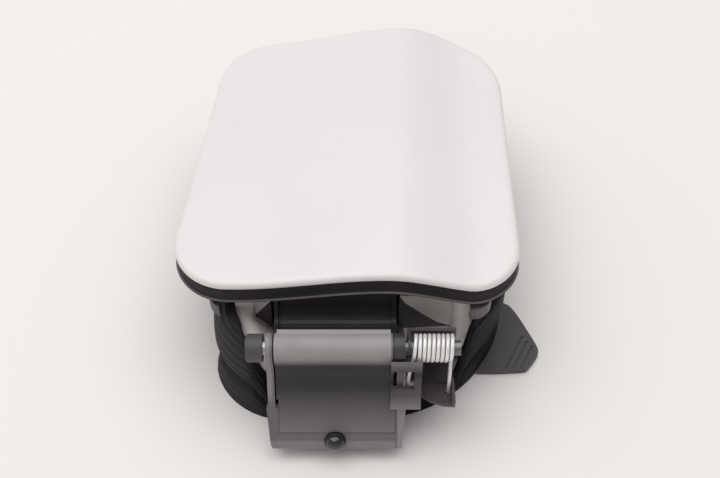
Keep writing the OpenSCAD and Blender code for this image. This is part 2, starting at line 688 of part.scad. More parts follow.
// Dent in the lower fold on the left side
function boot_dent(p, t) = p[0] > 0 ? 0 : 4 * exp(-pow((p[1] - boot_notch_y) / 6, 2)) * smooth((t - 0.5) / 0.2);
function boot_ring(t, inset) =
    let (
        corners = [for (i = [0:3]) boot_mix(boot_collar[i], boot_top[i], boot_base[i], t)],
        radii = [for (i = [0:3]) boot_mix(boot_collar_r[i], boot_top_r[i], boot_base_r[i], t)],
        plain = outline(corners, radii, 0),
        moved = outline(corners, radii, inset - boot_fold(t))
    )
    [for (i = [0:len(plain) - 1])
        [moved[i][0] + boot_dent(plain[i], t), moved[i][1], mix(boot_lip_z(plain[i]), -axis_h, t)]];
tab_top = 3.6;
tab_outline = [[66, 62], [76, 66], [82.4, 62], [93, 37], [93.5, 33], [92, 30], [86.6, 22.6], [84, 22], [67, 21], [52, 22], [50, 40]];
module boot() {
    boot_inner = [0, 0.04, 0.08, 0.12, 0.3, 0.5, 0.64, 0.8, 1];
    color(black_rubber) union() {
        skin_over(concat(
            [for (t = boot_inner) boot_ring(t, boot_t + (t == 1 ? 4 : 0) + boot_fold(t) * 0.5)],
            [for (i = [boot_levels:-1:0]) boot_ring(i / boot_levels, 0)]
        ), loop = true);
        difference() {
            translate([0, 0, 0.4 - axis_h]) linear_extrude(tab_top - 0.4) polygon(tab_outline);
            translate([0, 0, -axis_h - 1]) linear_extrude(8) polygon(outline(boot_base, boot_base_r, -0.05));
            for (i = [0:2])
                translate([80.6 + i * 3.1, 32.8 - i * 1.6, tab_top - axis_h]) rotate([0, 0, -27.3]) cube([1, 23 - i * 3.5, 1.6], center = true);
        }
    }
}

module stop_buffers() {
    color(black_rubber) for (x = [-58, 54])
        translate([x, 178, pot_top]) difference() {
            union() {
                cylinder(h = skin_z(x, 178) - carrier_top - carrier_t - pot_top - 0.8, r1 = 4.5, r2 = 3.6, $fn = 48);
                cylinder(h = 1.4, r = 5.5, $fn = 48);
            }
            translate([0, 0, 4]) cylinder(h = 12, r = 1.4, $fn = 32);
        }
}

// Lock on the far wall: body, screwed cover and sliding pin
module lock_body() {
    back = lock_y + 2.5;
    color(black_gloss) difference() {
        union() {
            translate([lock_x[0], back, lock_z - 12]) cube([lock_x[1] - lock_x[0], 8, 24]);
            translate([lock_x[1] - 1, back, lock_z - 8]) cube([9, 8, 12]);
        }
        translate([pin_x, back - 1, lock_z]) rotate([-90, 0, 0]) cylinder(h = 12, r = lock_pin_r + fit_gap, $fn = 48);
        for (x = lock_screw_x, z = lock_screw_z)
            translate([x, back - 1, lock_z + z]) rotate([-90, 0, 0]) cylinder(h = 12, r = 1.7, $fn = 32);
        translate([lock_x[1] + 1.4, back + 1.5, lock_z - 6.5]) cube([9, 5, 9]);
    }
}
module lock_cover() {
    color(black_gloss) difference() {
        translate([lock_x[0], lock_y + 10.5, lock_z - 12]) cube([lock_x[1] - lock_x[0], 1.6, 24]);
        for (x = lock_screw_x, z = lock_screw_z)
            translate([x, lock_y, lock_z + z]) rotate([-90, 0, 0]) cylinder(h = 14, r = 1.7, $fn = 32);
    }
}
module lock_screws() {
    color(steel) for (x = lock_screw_x, z = lock_screw_z)
        translate([x, lock_y + 12.1, lock_z + z]) rotate([90, 0, 0]) screw(1.2, 2.4, 12);
}
module lock_pin() {
    color(steel) translate([pin_x, lock_y - 5, lock_z]) rotate([-90, 0, 0]) {
        translate([0, 0, 1]) cylinder(h = 13.5, r = lock_pin_r, $fn = 48);
        cylinder(h = 1, r1 = lock_pin_r - 1, r2 = lock_pin_r, $fn = 48);
    }
}

// Moves a sub-part from the hinge frame to the part's frame
module place() {
    translate([-mid_x, -mid_y, axis_h]) children();
}

place() flap_skin();
place() flap_carrier();
place() flap_seal();
place() hinge_arm();
place() arm_screws();
place() hinge_shaft();
place() shaft_cap();
place() spring_lever();
place() striker();
place() striker_screws();
place() pot();
place() slot_plates();
place() inlet_sleeves();
place() hinge_case();
place() case_screws();
place() pocket_cover();
place() cover_clip();
place() hinge_bushes();
place() torsion_spring();
place() boot();
place() stop_buffers();
place() lock_body();
place() lock_cover();
place() lock_screws();
place() lock_pin();
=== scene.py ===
import math
import bpy
import bmesh
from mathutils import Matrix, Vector

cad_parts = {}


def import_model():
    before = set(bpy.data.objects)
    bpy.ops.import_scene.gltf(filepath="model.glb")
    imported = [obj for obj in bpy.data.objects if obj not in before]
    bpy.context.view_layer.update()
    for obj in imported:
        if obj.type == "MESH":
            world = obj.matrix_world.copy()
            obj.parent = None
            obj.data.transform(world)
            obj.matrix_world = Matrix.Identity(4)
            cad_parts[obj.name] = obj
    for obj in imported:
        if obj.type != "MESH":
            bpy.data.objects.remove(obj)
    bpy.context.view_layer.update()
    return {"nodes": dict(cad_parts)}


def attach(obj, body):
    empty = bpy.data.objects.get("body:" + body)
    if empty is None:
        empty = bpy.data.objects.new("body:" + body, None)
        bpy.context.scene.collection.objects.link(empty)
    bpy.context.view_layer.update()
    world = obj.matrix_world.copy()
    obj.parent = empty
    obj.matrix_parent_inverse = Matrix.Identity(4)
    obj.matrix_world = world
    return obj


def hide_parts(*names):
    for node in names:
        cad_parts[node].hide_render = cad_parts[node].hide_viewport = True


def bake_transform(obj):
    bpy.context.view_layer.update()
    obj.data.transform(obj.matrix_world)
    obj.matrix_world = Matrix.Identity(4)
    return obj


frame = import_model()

NODES = frame["nodes"]
X, Y, Z = 0, 1, 2

# Shapes are written in the hinge frame in millimetres, as in the part's source. The shaft's axis runs
# along x at y = z = 0, the flap lies towards +y, and the floor is AXIS_H below the axis.
MID_X, MID_Y, AXIS_H = 1.85, 86.08, 56.0


def metres(mm):
    return mm / 1000


def H(p):
    """A point of the hinge frame in the shared frame, which is in metres."""
    return metres(p[0] - MID_X), metres(p[1] - MID_Y), metres(p[2] + AXIS_H)


def mix(a, b, t):
    return a + (b - a) * t


def mix_xy(p, q, t):
    return mix(p[0], q[0], t), mix(p[1], q[1], t)


def clamp01(v):
    return min(1.0, max(0.0, v))


def smooth(v):
    s = clamp01(v)
    return s * s * (3 - 2 * s)


def through(points, steps):
    """A smooth curve through the points, with steps pieces between each two."""
    out = []
    last = len(points) - 1
    for i in range(last):
        around = [points[k] for k in (max(i - 1, 0), i, i + 1, min(i + 2, last))]
        for k in range(steps):
            t = k / steps
            out.append(tuple(0.5 * (2 * b + (c - a) * t + (2 * a - 5 * b + 4 * c - d) * t * t
                                    + (3 * b - a - 3 * c + d) * t ** 3) for a, b, c, d in zip(*around)))
    return out + [tuple(points[-1])]


# Meshes. A shape is a pair: its points and its faces.
WELD = 1e-6
BEVEL_STEPS, BEVEL_ANGLE = 3, math.radians(35)


def mesh_piece(name, shape, body, material, replaced=(), smooth_shade=True, place=True):
    """A piece of the scene. place moves its points from the hinge frame to the shared one."""
    points, faces = shape
    mesh = bpy.data.meshes.new(name)
    mesh.from_pydata([H(p) for p in points] if place else points, [], faces)
    mesh.validate()
    obj = bpy.data.objects.new(name, mesh)
    bpy.context.scene.collection.objects.link(obj)
    bm = bmesh.new()
    bm.from_mesh(mesh)
    bmesh.ops.remove_doubles(bm, verts=bm.verts, dist=WELD)
    bmesh.ops.recalc_face_normals(bm, faces=bm.faces)
    bm.to_mesh(mesh)
    bm.free()
    if smooth_shade:
        for poly in mesh.polygons:
            poly.use_smooth = True
    mesh.materials.append(material)
    if body:
        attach(obj, body)
    if replaced:
        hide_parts(*replaced)
    return obj


def add_bevel(obj, width, harden=False):
    bevel = obj.modifiers.new("edges", "BEVEL")
    bevel.width = metres(width)
    bevel.segments = BEVEL_STEPS
    bevel.limit_method = "ANGLE"
    bevel.angle_limit = BEVEL_ANGLE
    bevel.use_clamp_overlap = True
    bevel.harden_normals = harden


def baked(obj, *removed):
    """Turns the modifiers of obj into its mesh, then deletes the objects that only cut it."""
    graph = bpy.context.evaluated_depsgraph_get()
    mesh = bpy.data.meshes.new_from_object(obj.evaluated_get(graph))
    obj.modifiers.clear()
    obj.data = mesh
    for cutter in removed:
        bpy.data.objects.remove(cutter, do_unlink=True)


def loft(rings, loop=False, cap_first=False, cap_last=False):
    """Quads between rings of equal length; a cap is a fan from the ring's middle."""
    n, m = len(rings[0]), len(rings)
    points = [p for ring in rings for p in ring]
    faces = []
    for i in range(m if loop else m - 1):
        for j in range(n):
            a, b = i * n + j, ((i + 1) % m) * n + j
            c, d = ((i + 1) % m) * n + (j + 1) % n, i * n + (j + 1) % n
            faces.append((a, b, c, d))
    for ring_index, on in ((0, cap_first), (m - 1, cap_last)):
        if on:
            ring = rings[ring_index]
            points.append(tuple(sum(p[k] for p in ring) / n for k in (X, Y, Z)))
            for j in range(n):
                faces.append((ring_index * n + j, ring_index * n + (j + 1) % n, len(points) - 1))
    return points, faces


def prism(corners, low, high):
    """A flat outline given a thickness, from low to high."""
    n = len(corners)
    points = [(x, y, low) for x, y in corners] + [(x, y, high) for x, y in corners]
    faces = [(i, (i + 1) % n, n + (i + 1) % n, n + i) for i in range(n)]
    return points, faces + [tuple(range(n - 1, -1, -1)), tuple(range(n, 2 * n))]


def turned_box(x, y, z, size, angle):
    c, s = math.cos(angle), math.sin(angle)
    w, l, h = (length / 2 for length in size)
    corners = [(x + c * a - s * b, y + s * a + c * b) for a, b in ((-w, -l), (w, -l), (w, l), (-w, l))]
    return prism(corners, z - h, z + h)


# Rounded outlines. Each has the same number of points, whatever its size, so that any two can be lofted.
ARC_STEPS, EDGE_STEPS = 24, 30
CUT_SHARE = 0.22


def corner_arc(a, p, b, r, inset):
    """The rounding of radius r at corner p, between the edges to a and b, drawn in by inset."""
    a, p, b = Vector(a), Vector(p), Vector(b)
    to_a, to_b = (a - p).normalized(), (b - p).normalized()
    half = math.acos(to_a.dot(to_b)) / 2
    centre = p + (to_a + to_b).normalized() * r / math.sin(half)
    first = p + to_a * r / math.tan(half) - centre
    last = p + to_b * r / math.tan(half) - centre
    start = math.atan2(first.y, first.x)
    turn = math.atan2(last.y, last.x) - start
    if turn < -math.pi:
        turn += 2 * math.pi
    angles = [start + turn * i / ARC_STEPS for i in range(ARC_STEPS + 1)]
    return [(centre.x + (r - inset) * math.cos(a), centre.y + (r - inset) * math.sin(a)) for a in angles]


def outline(corners, radii, inset):
    """Four corners with their radii as one ring of points, drawn in by inset."""
    arcs = [corner_arc(corners[i - 1], corners[i], corners[(i + 1) % 4], radii[i], inset)
            for i in range(4)]
    ring = []
    for i, arc in enumerate(arcs):
        following = arcs[(i + 1) % 4][0]
        ring += arc + [mix_xy(arc[-1], following, k / EDGE_STEPS) for k in range(1, EDGE_STEPS)]
    return ring


def cut_corners(corners):
    """The outline with each corner cut off; done twice, it looks rounded."""
    out = []
    for i, p in enumerate(corners):
        for neighbour in (corners[i - 1], corners[(i + 1) % len(corners)]):
            out.append(mix_xy(p, neighbour, CUT_SHARE))
    return out


# Materials
CLOUD_SPAN = (0.3, 0.7)
LEAST_ROUGH = 0.02
GRAIN_DEPTH = 0.0002
SPECK_CORE = 0.6


def new_material(name):
    mat = bpy.data.materials.new(name)
    mat.use_nodes = True
    tree = mat.node_tree
    return mat, tree, tree.nodes["Principled BSDF"]


def add_node(tree, kind, **values):
    """A new node; each value sets the input of that name, or else the node's own setting."""
    node = tree.nodes.new(kind)
    for key, value in values.items():
        if key in node.inputs:
            node.inputs[key].default_value = value
        else:
            setattr(node, key, value)
    return node


def multiplied(tree, a, b):
    node = add_node(tree, "ShaderNodeMath", operation="MULTIPLY")
    tree.links.new(a, node.inputs[0])
    tree.links.new(b, node.inputs[1])
    return node.outputs[0]


def remapped(tree, value, span=(0.0, 1.0), to=(0.0, 1.0)):
    """The value moved from one span to another and held at its ends."""
    node = tree.nodes.new("ShaderNodeMapRange")
    for key, end in zip(("From Min", "From Max", "To Min", "To Max"), (*span, *to)):
        node.inputs[key].default_value = end
    tree.links.new(value, node.inputs["Value"])
    return node.outputs["Result"]


def curve_of(tree, value, stops):
    """A factor over value, from (value, factor) stops in rising order."""
    low, high = stops[0][0], stops[-1][0]
    ramp = tree.nodes.new("ShaderNodeValToRGB")
    items = ramp.color_ramp.elements
    for k, (at, factor) in enumerate(stops):
        spot = (at - low) / (high - low)
        item = items[0] if k == 0 else items[-1] if k == len(stops) - 1 else items.new(spot)
        item.position = spot
        item.color = (factor, factor, factor, 1)
    tree.links.new(remapped(tree, value, (low, high)), ramp.inputs["Fac"])
    return ramp.outputs["Color"]


def color_by(tree, bsdf, color, factor):
    """Gives the surface the colour, scaled by factor."""
    tint = add_node(tree, "ShaderNodeVectorMath", operation="SCALE")
    tint.inputs[0].default_value = color
    tree.links.new(factor, tint.inputs["Scale"])
    tree.links.new(tint.outputs["Vector"], bsdf.inputs["Base Color"])


def past(axis, low, high):
    """A mask that is 0 up to low and 1 from high on."""
    return axis, [(low, 0), (high, 1)]


def before(axis, low, high):
    """A mask that is 1 up to low and 0 from high on."""
    return axis, [(low, 1), (high, 0)]


def surface(name, color, rough, metallic=0.0, mottle=0.06, scale=60, bump=0.0, bump_scale=900,
            rough_var=0.08, coat=0.0, coat_rough=0.1, specular=0.5, along=(), patches=(), specks=()):
    """A procedural surface: colour and roughness vary a little, with a fine grain in the bump.

    along holds (axis, stops) pairs: each scales the colour over x, y or z of the hinge frame.
    patches holds (factor, masks) pairs: the factor applies where all of its masks are 1.
    specks holds (point, radius, factor): small dark spots."""
    mat, tree, bsdf = new_material(name)
    coords = add_node(tree, "ShaderNodeTexCoord").outputs["Object"]
    cloud = add_node(tree, "ShaderNodeTexNoise", Scale=scale, Detail=4.0, Roughness=0.55)
    tree.links.new(coords, cloud.inputs["Vector"])

    def over(axis, stops):
        split = tree.nodes.new("ShaderNodeSeparateXYZ")
        tree.links.new(coords, split.inputs["Vector"])
        return curve_of(tree, split.outputs[axis], [(H((at, at, at))[axis], f) for at, f in stops])

    factor = remapped(tree, cloud.outputs["Fac"], CLOUD_SPAN, (1 - mottle, 1 + mottle))
    for axis, stops in along:
        factor = multiplied(tree, factor, over(axis, stops))
    for target, masks in patches:
        mask = over(*masks[0])
        for more in masks[1:]:
            mask = multiplied(tree, mask, over(*more))
        factor = multiplied(tree, factor, remapped(tree, mask, to=(1.0, target)))
    for point, radius, target in specks:
        reach = add_node(tree, "ShaderNodeVectorMath", operation="DISTANCE")
        tree.links.new(coords, reach.inputs[0])
        reach.inputs[1].default_value = H(point)
        edge = (metres(radius * SPECK_CORE), metres(radius))
        factor = multiplied(tree, factor, remapped(tree, reach.outputs["Value"], edge, (target, 1.0)))
    color_by(tree, bsdf, color, factor)

    rough_span = (max(LEAST_ROUGH, rough - rough_var), rough + rough_var)
    tree.links.new(remapped(tree, cloud.outputs["Fac"], to=rough_span), bsdf.inputs["Roughness"])
    for key, value in (("Metallic", metallic), ("Coat Weight", coat), ("Coat Roughness", coat_rough),
                       ("Specular IOR Level", specular)):
        bsdf.inputs[key].default_value = value
    if bump:
        grain = add_node(tree, "ShaderNodeTexNoise", Scale=bump_scale, Detail=3.0)
        tree.links.new(coords, grain.inputs["Vector"])
        knock = add_node(tree, "ShaderNodeBump", Strength=bump, Distance=GRAIN_DEPTH)
        tree.links.new(grain.outputs["Fac"], knock.inputs["Height"])
        tree.links.new(knock.outputs["Normal"], bsdf.inputs["Normal"])
    return mat


PAINT_SPECKS = [((61.52, 161.93, 20.0), 0.9, 0.84), ((59.3, 107.25, 20.0), 0.6, 0.92)]
WHITE = surface("white_paint", (0.80, 0.775, 0.77), 0.42, mottle=0.012, scale=14, rough_var=0.03,
                coat=0.25, coat_rough=0.22, specks=PAINT_SPECKS)
SEAL = surface("black_seal", (0.016, 0.0145, 0.0145), 0.66, mottle=0.15, bump=0.25, bump_scale=1400,
               specular=0.3)
# Painted highlight: the seal's lower ledge is painted much lighter than the rest of the seal.
SEAL_PAINTED_HIGHLIGHT = surface("seal_painted_highlight", (0.13, 0.12, 0.12), 0.5, mottle=0.15)
# Painted shade: near-black plates stand where the slot's corners only lie in shade.
SHADE_PLATE = surface("slot_plate", (0.065, 0.057, 0.058), 0.6, mottle=0.12, bump=0.15)
PANEL = surface("black_panel", (0.03, 0.028, 0.028), 0.5, mottle=0.12, bump=0.2)
ARM = surface("black_arm", (0.062, 0.054, 0.058), 0.34, mottle=0.12, bump=0.06, specular=0.35)
GLOSS = surface("black_gloss", (0.015, 0.013, 0.014), 0.1, mottle=0.1, rough_var=0.03, coat=0.6,
                coat_rough=0.03)
# Painted light and shade on the hinge case: some parts are painted lighter as if lit, the right ear darker
# as if shaded.
CASE_PAINTED_LIGHT = [
    (1.75, [before(X, -42, -41), past(Z, -28, -22)]),  # painted light on the left ear
    (1.8, [past(X, 17.5, 18.5), before(Z, -30, -25)]),  # painted light on the right cheek under the bracket
    (1.5, [before(X, 16.5, 17.5), before(Z, -44.5, -43.5)]),  # painted light on the bottom rim
    (0.3, [past(X, 14.6, 15.4), past(Z, -12, -9)]),  # painted shade on the right ear beside the spring
]
CASE = surface("case_grey", (0.14, 0.127, 0.129), 0.42, mottle=0.08, bump=0.12, patches=CASE_PAINTED_LIGHT)
# Painted light and shade: the cover's barrel is painted light as if lit from above, and its panel goes
# from painted near-black shade under the barrel to grey at the bottom.
COVER_PAINTED_SHADING = [(-48, 0.80), (-42, 0.62), (-34, 0.45), (-27, 0.27), (-20, 0.10), (-7, 0.05), (-6, 0.08),
               (-4.5, 0.24), (-3, 0.52), (-1, 0.78), (1, 0.9), (3, 1.0), (8, 1.08)]
BRACKET = past(X, 14.2, 14.5)
# Painted light and shade on parts of the cover.
COVER_PAINTED_PATCHES = [
    (0.45, [BRACKET, past(Z, -9, -7)]),  # painted shade on the top of the bracket
    (2.4, [BRACKET, past(Z, -30, -29), before(Z, -9, -7)]),  # face of the bracket, painted lighter out of the panel's painted shade
    (0.30, [past(Y, 6.6, 7.4)]),  # painted shade on the ledge behind the barrel
]
COVER = surface("cover_grey", (0.31, 0.286, 0.287), 0.4, mottle=0.08, bump=0.08, specular=0.35,
                along=[(Z, COVER_PAINTED_SHADING)], patches=COVER_PAINTED_PATCHES)
CAP = surface("cap_grey", (0.075, 0.069, 0.069), 0.55, mottle=0.08, bump=0.12)
# The pot's flange is dark along its outer edges and at its near right corner.
FLANGE_SHADE = [(-80, 0.10), (-65.6, 0.10), (-64.6, 1.0), (61.4, 1.0), (62.2, 0.17), (70, 0.17)]
FLANGE_CORNER = (0.17, [past(X, 52.0, 52.3), before(X, 61.4, 62.2), before(Y, 28, 29)])
POT = surface("pot_grey", (0.60, 0.56, 0.545), 0.5, mottle=0.06, bump=0.1,
              along=[(X, FLANGE_SHADE)], patches=[FLANGE_CORNER])
# The flare skins are painted lighter towards their outer ends, most on the right: painted light on the
# corners that catch the light.
FLARE_SKIN = surface("pot_flare_grey", (0.60, 0.56, 0.545), 0.5, mottle=0.06, bump=0.1,
                     along=[(X, [(-70, 1.1), (-50, 1.0), (45, 1.0), (48.5, 1.5), (60, 1.5)])])
BUSH = surface("bush_dark", (0.05, 0.047, 0.047), 0.35)
STEEL = surface("screw_steel", (0.55, 0.55, 0.56), 0.3, metallic=1.0, mottle=0.08)
# The shaft is painted 3.6 times lighter at its left end: a painted highlight where it shows between the
# cap and the ear.
SHAFT = surface("shaft_steel", (0.20, 0.195, 0.195), 0.42, metallic=0.8, mottle=0.06,
                along=[(X, [(-60, 3.6), (-42, 3.6), (-38, 1.0), (60, 1.0)])])
SPRING = surface("spring_steel", (0.88, 0.87, 0.86), 0.4, metallic=0.35, mottle=0.05)
BRASS = surface("sleeve_brass", (0.70, 0.52, 0.26), 0.32, metallic=1.0, mottle=0.08)
# The boot is painted lighter on its left and darker on its right: painted light and painted shade.
RUBBER = surface("boot_rubber", (0.019, 0.0165, 0.017), 0.6, mottle=0.2, scale=35, bump=0.3,
                 bump_scale=700, rough_var=0.12, specular=0.16,
                 along=[(X, [(-80, 1.4), (-30, 1.0), (30, 0.4), (80, 0.4)])])
TAB_RUBBER = surface("tab_rubber", (0.065, 0.058, 0.059), 0.5, mottle=0.15, scale=35, bump=0.3,
                     bump_scale=700, rough_var=0.1)

NODE_MATERIALS = {
    "flap_carrier": PANEL, "hinge_arm": ARM, "arm_screws": STEEL, "hinge_shaft": SHAFT, "shaft_cap": CAP,
    "spring_lever": ARM, "striker": ARM, "striker_screws": STEEL, "pot": POT, "inlet_sleeves": BRASS,
    "hinge_case": CASE, "case_screws": STEEL, "pocket_cover": COVER, "cover_clip": GLOSS,
    "hinge_bushes": BUSH, "stop_buffers": SEAL, "slot_plates": SHADE_PLATE, "lock_body": GLOSS,
    "lock_cover": PANEL, "lock_screws": STEEL, "lock_pin": SHAFT,
}
BEVELS = {"hinge_arm": 0.5, "spring_lever": 0.35, "hinge_case": 0.35, "pocket_cover": 0.3, "pot": 0.4,
          "shaft_cap": 0.5, "striker": 0.4, "lock_body": 0.4, "lock_cover": 0.3, "flap_carrier": 0.3}
for name, material in NODE_MATERIALS.items():
    node = NODES[name]
    node.data.materials.clear()
    node.data.materials.append(material)
    if name in BEVELS:
        add_bevel(node, BEVELS[name], harden=True)

# Flap. Its face is a wave across x with one crest, which lies further right on the far side.
FLAP_CORNERS = [(-92, 22), (76.5, 19.5), (77.5, 204), (-74, 193)]
FLAP_RADII = [27, 26, 44, 32]
FLAP_MID = (-5, 110)
SKIN_LOW, CREST_RISE = 20, 7.99
WAVE_X, CREST_X, CREST_SHIFT, SHIFT_OVER = 60, 18, 4, 90
SKIN_T, SKIN_EDGE, LIP_H, RIM_IN = 2.4, 4.0, 9.0, 3.4

# The shell's rings run from the middle of its underside, round the rolled edge, to the middle of the face.
# Shares scale the outline about FLAP_MID, and the pairs are (inset, drop below the face).
UNDER_INSET = 3
UNDER_SHARES = (0.08, 0.2, 0.35, 0.5, 0.65, 0.8, 0.92, 1)
EDGE_WALL = [(3, 3.2), (3, SKIN_EDGE), (2.2, SKIN_EDGE), (0.9, SKIN_EDGE)]
EDGE_ROLL = [(0.4, SKIN_EDGE), (0.05, 3.4), (0, 2.4), (0.5, 1.0), (1.8, 0.18), (4, 0), (7, 0)]
ROLL_STEPS = 3
FACE_INSETS = (9, 12, 16)
FACE_SHARES = (0.92, 0.83, 0.73, 0.62, 0.5, 0.38, 0.26, 0.14, 0.06)


def skin_z(x, y):
    crest = CREST_X + CREST_SHIFT * (y - FLAP_MID[1]) / SHIFT_OVER
    if x < crest:
        rise = smooth((x + WAVE_X) / (crest + WAVE_X))
    else:
        rise = 1 - smooth((x - crest) / (WAVE_X - crest))
    return SKIN_LOW + CREST_RISE * rise


def flap_ring(share, inset, drop):
    ring = []
    for p in outline(FLAP_CORNERS, FLAP_RADII, inset):
        x, y = mix_xy(FLAP_MID, p, share)
        ring.append((x, y, skin_z(x, y) - drop))
    return ring


def flap_shell():
    edge = EDGE_WALL + through(EDGE_ROLL, ROLL_STEPS) + [(inset, 0) for inset in FACE_INSETS]
    rings = [flap_ring(share, UNDER_INSET, SKIN_T) for share in UNDER_SHARES]
    rings += [flap_ring(1, inset, drop) for inset, drop in edge]
    rings += [flap_ring(share, FACE_INSETS[-1], 0) for share in FACE_SHARES]
    return loft(rings, cap_first=True, cap_last=True)


mesh_piece("flap_shell", flap_shell(), "flap", WHITE, ["flap_skin"])

# The seal's section, also as (inset, drop) pairs. Its first edge is the ledge that catches the light, and
# its faces also get a lighter colour: a painted highlight.
LIP_LOW = SKIN_EDGE + LIP_H
LIP = [(-0.7, LIP_LOW - 0.7), (0.2, LIP_LOW - 1.1), (0.5, LIP_LOW - 3.2), (0.7, SKIN_EDGE + 2.2),
       (1.2, SKIN_EDGE + 0.1), (RIM_IN, SKIN_EDGE + 0.9), (RIM_IN, LIP_LOW - 3), (2.6, LIP_LOW - 2.6),
       (1.4, LIP_LOW - 0.5), (-0.4, LIP_LOW)]
lip_rings = [flap_ring(1, inset, drop) for inset, drop in LIP]
seal = mesh_piece("flap_seal_band", loft(lip_rings, loop=True), "flap", SEAL, ["flap_seal"])
# The ledge's faces take the painted highlight.
seal.data.materials.append(SEAL_PAINTED_HIGHLIGHT)
for poly in seal.data.polygons[:len(lip_rings[0])]:
    poly.material_index = 1

# Boot. t runs from 0 at its rim to 1 at its foot, and its outline widens from the collar over the edge of
# its roof at ROOF_T to the foot.
BOOT_COLLAR, BOOT_COLLAR_R = [(-65.7, 3), (61.7, 3), (61.7, 186), (-65.7, 186)], [26, 35, 30, 30]
BOOT_TOP, BOOT_TOP_R = [(-70.5, 0), (73, 0), (73, 188), (-70.5, 188)], [36, 58, 36, 36]
BOOT_BASE, BOOT_BASE_R = [(-75, -5.5), (75, -5.5), (75, 192), (-75, 192)], [38, 72, 42, 42]
BOOT_HIGH, BOOT_T, ROOF_T, FOOT_IN = -4, 2, 0.12, 4
# Height of the rim over x up to y = LIP_Y, where it dips below the hinge case. Elsewhere it is BOOT_HIGH.
LIP_Y = 40
BOOT_LIP = [(-57, -4), (-53.5, -6), (-51.7, -13.4), (-50.3, -20.9), (-47.8, -27.5), (-46.4, -29.5),
            (-45.6, -49.3), (42, -49.3), (45, -44), (48.5, -34), (54, -6), (56, -4)]
# Two folds with a waist between them, fine ribs, and a dent in the lower fold on the left.
BULGE, BULGE_END = 1.2, 0.62
WAIST, WAIST_AT, WAIST_W = 3.4, 0.64, 0.07
RIB, RIB_COUNT, RIB_START, RIB_END = 0.45, 9, 0.05, 0.95
DENT, DENT_Y, DENT_W, DENT_START, DENT_FADE = 4, 33, 6, 0.5, 0.2
# Slow waves that make the folds irregular: size in t, lengths per radian along x and y, phase.
SWAYS = [(0.013, 17, 23, 0), (0.008, 7.3, -9.1, 1.7)]
# The rim leans in to the pot's wall on the near left: (reach, drop) of its two inner rings.
RIM_RINGS = [(3.2, 0.9), (3.0, 2.4)]
RIM_RISE = 2.6
LEAN_START, LEAN_RISE, LEAN_END, LEAN_FALL = 8, 7, 52, 14
INNER_FIRST, INNER_STEPS, OUTER_STEPS = 3, 40, 120


def boot_lip_z(x, y):
    if y > LIP_Y or x <= BOOT_LIP[0][0] or x >= BOOT_LIP[-1][0]:
        return BOOT_HIGH
    for (x0, z0), (x1, z1) in zip(BOOT_LIP, BOOT_LIP[1:]):
        if x <= x1:
            return mix(z0, z1, (x - x0) / (x1 - x0))


def boot_mix(collar, top, base, t):
    if t < ROOF_T:
        return mix(collar, top, smooth(t / ROOF_T))
    return mix(top, base, (t - ROOF_T) / (1 - ROOF_T))


def boot_fold(t):
    """How far the wall stands out at t."""
    bulge = BULGE * math.sin(math.pi * clamp01(t / BULGE_END))
    waist = WAIST * math.exp(-((t - WAIST_AT) / WAIST_W) ** 2)
    rib = RIB * abs(math.sin(math.pi * RIB_COUNT * t)) if RIB_START < t < RIB_END else 0
    return bulge - waist + rib


def boot_dent(x, y, t):
    if x > 0:
        return 0
    return DENT * math.exp(-((y - DENT_Y) / DENT_W) ** 2) * smooth((t - DENT_START) / DENT_FADE)


def boot_ring(t, inset):
    corners = [tuple(boot_mix(a[k], b[k], c[k], t) for k in (X, Y))
               for a, b, c in zip(BOOT_COLLAR, BOOT_TOP, BOOT_BASE)]
    radii = [boot_mix(a, b, c, t) for a, b, c in zip(BOOT_COLLAR_R, BOOT_TOP_R, BOOT_BASE_R)]
    ring = []
    for p, one_in in zip(outline(corners, radii, 0), outline(corners, radii, 1)):
        sway = sum(size * math.sin(p[0] / over_x + p[1] / over_y + phase)
                   for size, over_x, over_y, phase in SWAYS)
        out = boot_fold(t + sway * math.sin(math.pi * t)) - inset
        x, y = mix_xy(p, one_in, -out)
        ring.append((x + boot_dent(*p, t), y, mix(boot_lip_z(*p), -AXIS_H, t)))
    return ring


def boot_rim(reach, drop):
    """The inside of the top edge, which leans in by up to reach."""
    collar = [outline(BOOT_COLLAR, BOOT_COLLAR_R, inset) for inset in (0, BOOT_T, BOOT_T + reach)]
    ring = []
    for p, upright, leaned in zip(*collar):
        lean = 0
        if p[0] < 0:
            lean = smooth((p[1] - LEAN_START) / LEAN_RISE) * smooth((LEAN_END - p[1]) / LEAN_FALL)
        ring.append((*mix_xy(upright, leaned, lean), boot_lip_z(*p) - drop + RIM_RISE * lean))
    return ring


def boot_bellows():
    inner = [boot_rim(reach, drop) for reach, drop in RIM_RINGS]
    inner += [boot_ring(k / INNER_STEPS, BOOT_T) for k in range(INNER_FIRST, INNER_STEPS)]
    inner.append(boot_ring(1, BOOT_T + FOOT_IN))
    outer = [boot_ring(k / OUTER_STEPS, 0) for k in range(OUTER_STEPS, -1, -1)]
    return loft(inner + outer, loop=True)


mesh_piece("boot_bellows", boot_bellows(), "base", RUBBER, ["boot"])

# The boot's pull tab, with three grip grooves that get shorter towards its tip.
TAB = [(66, 62), (76, 66), (82.4, 62), (93, 37), (93.5, 33), (92, 30), (86.6, 22.6), (84, 22), (67, 21),
       (52, 22), (50, 40)]
TAB_LOW, TAB_TOP, TAB_BEVEL = 0.4 - AXIS_H, 3.6 - AXIS_H, 0.5
GROOVES, GROOVE_TURN = 3, math.radians(-27.3)
GROOVE_AT, GROOVE_STEP = (80.6, 32.8), (3.1, -1.6)
GROOVE_W, GROOVE_L, GROOVE_SHORTER, GROOVE_H = 1.0, 23, 3.5, 1.6

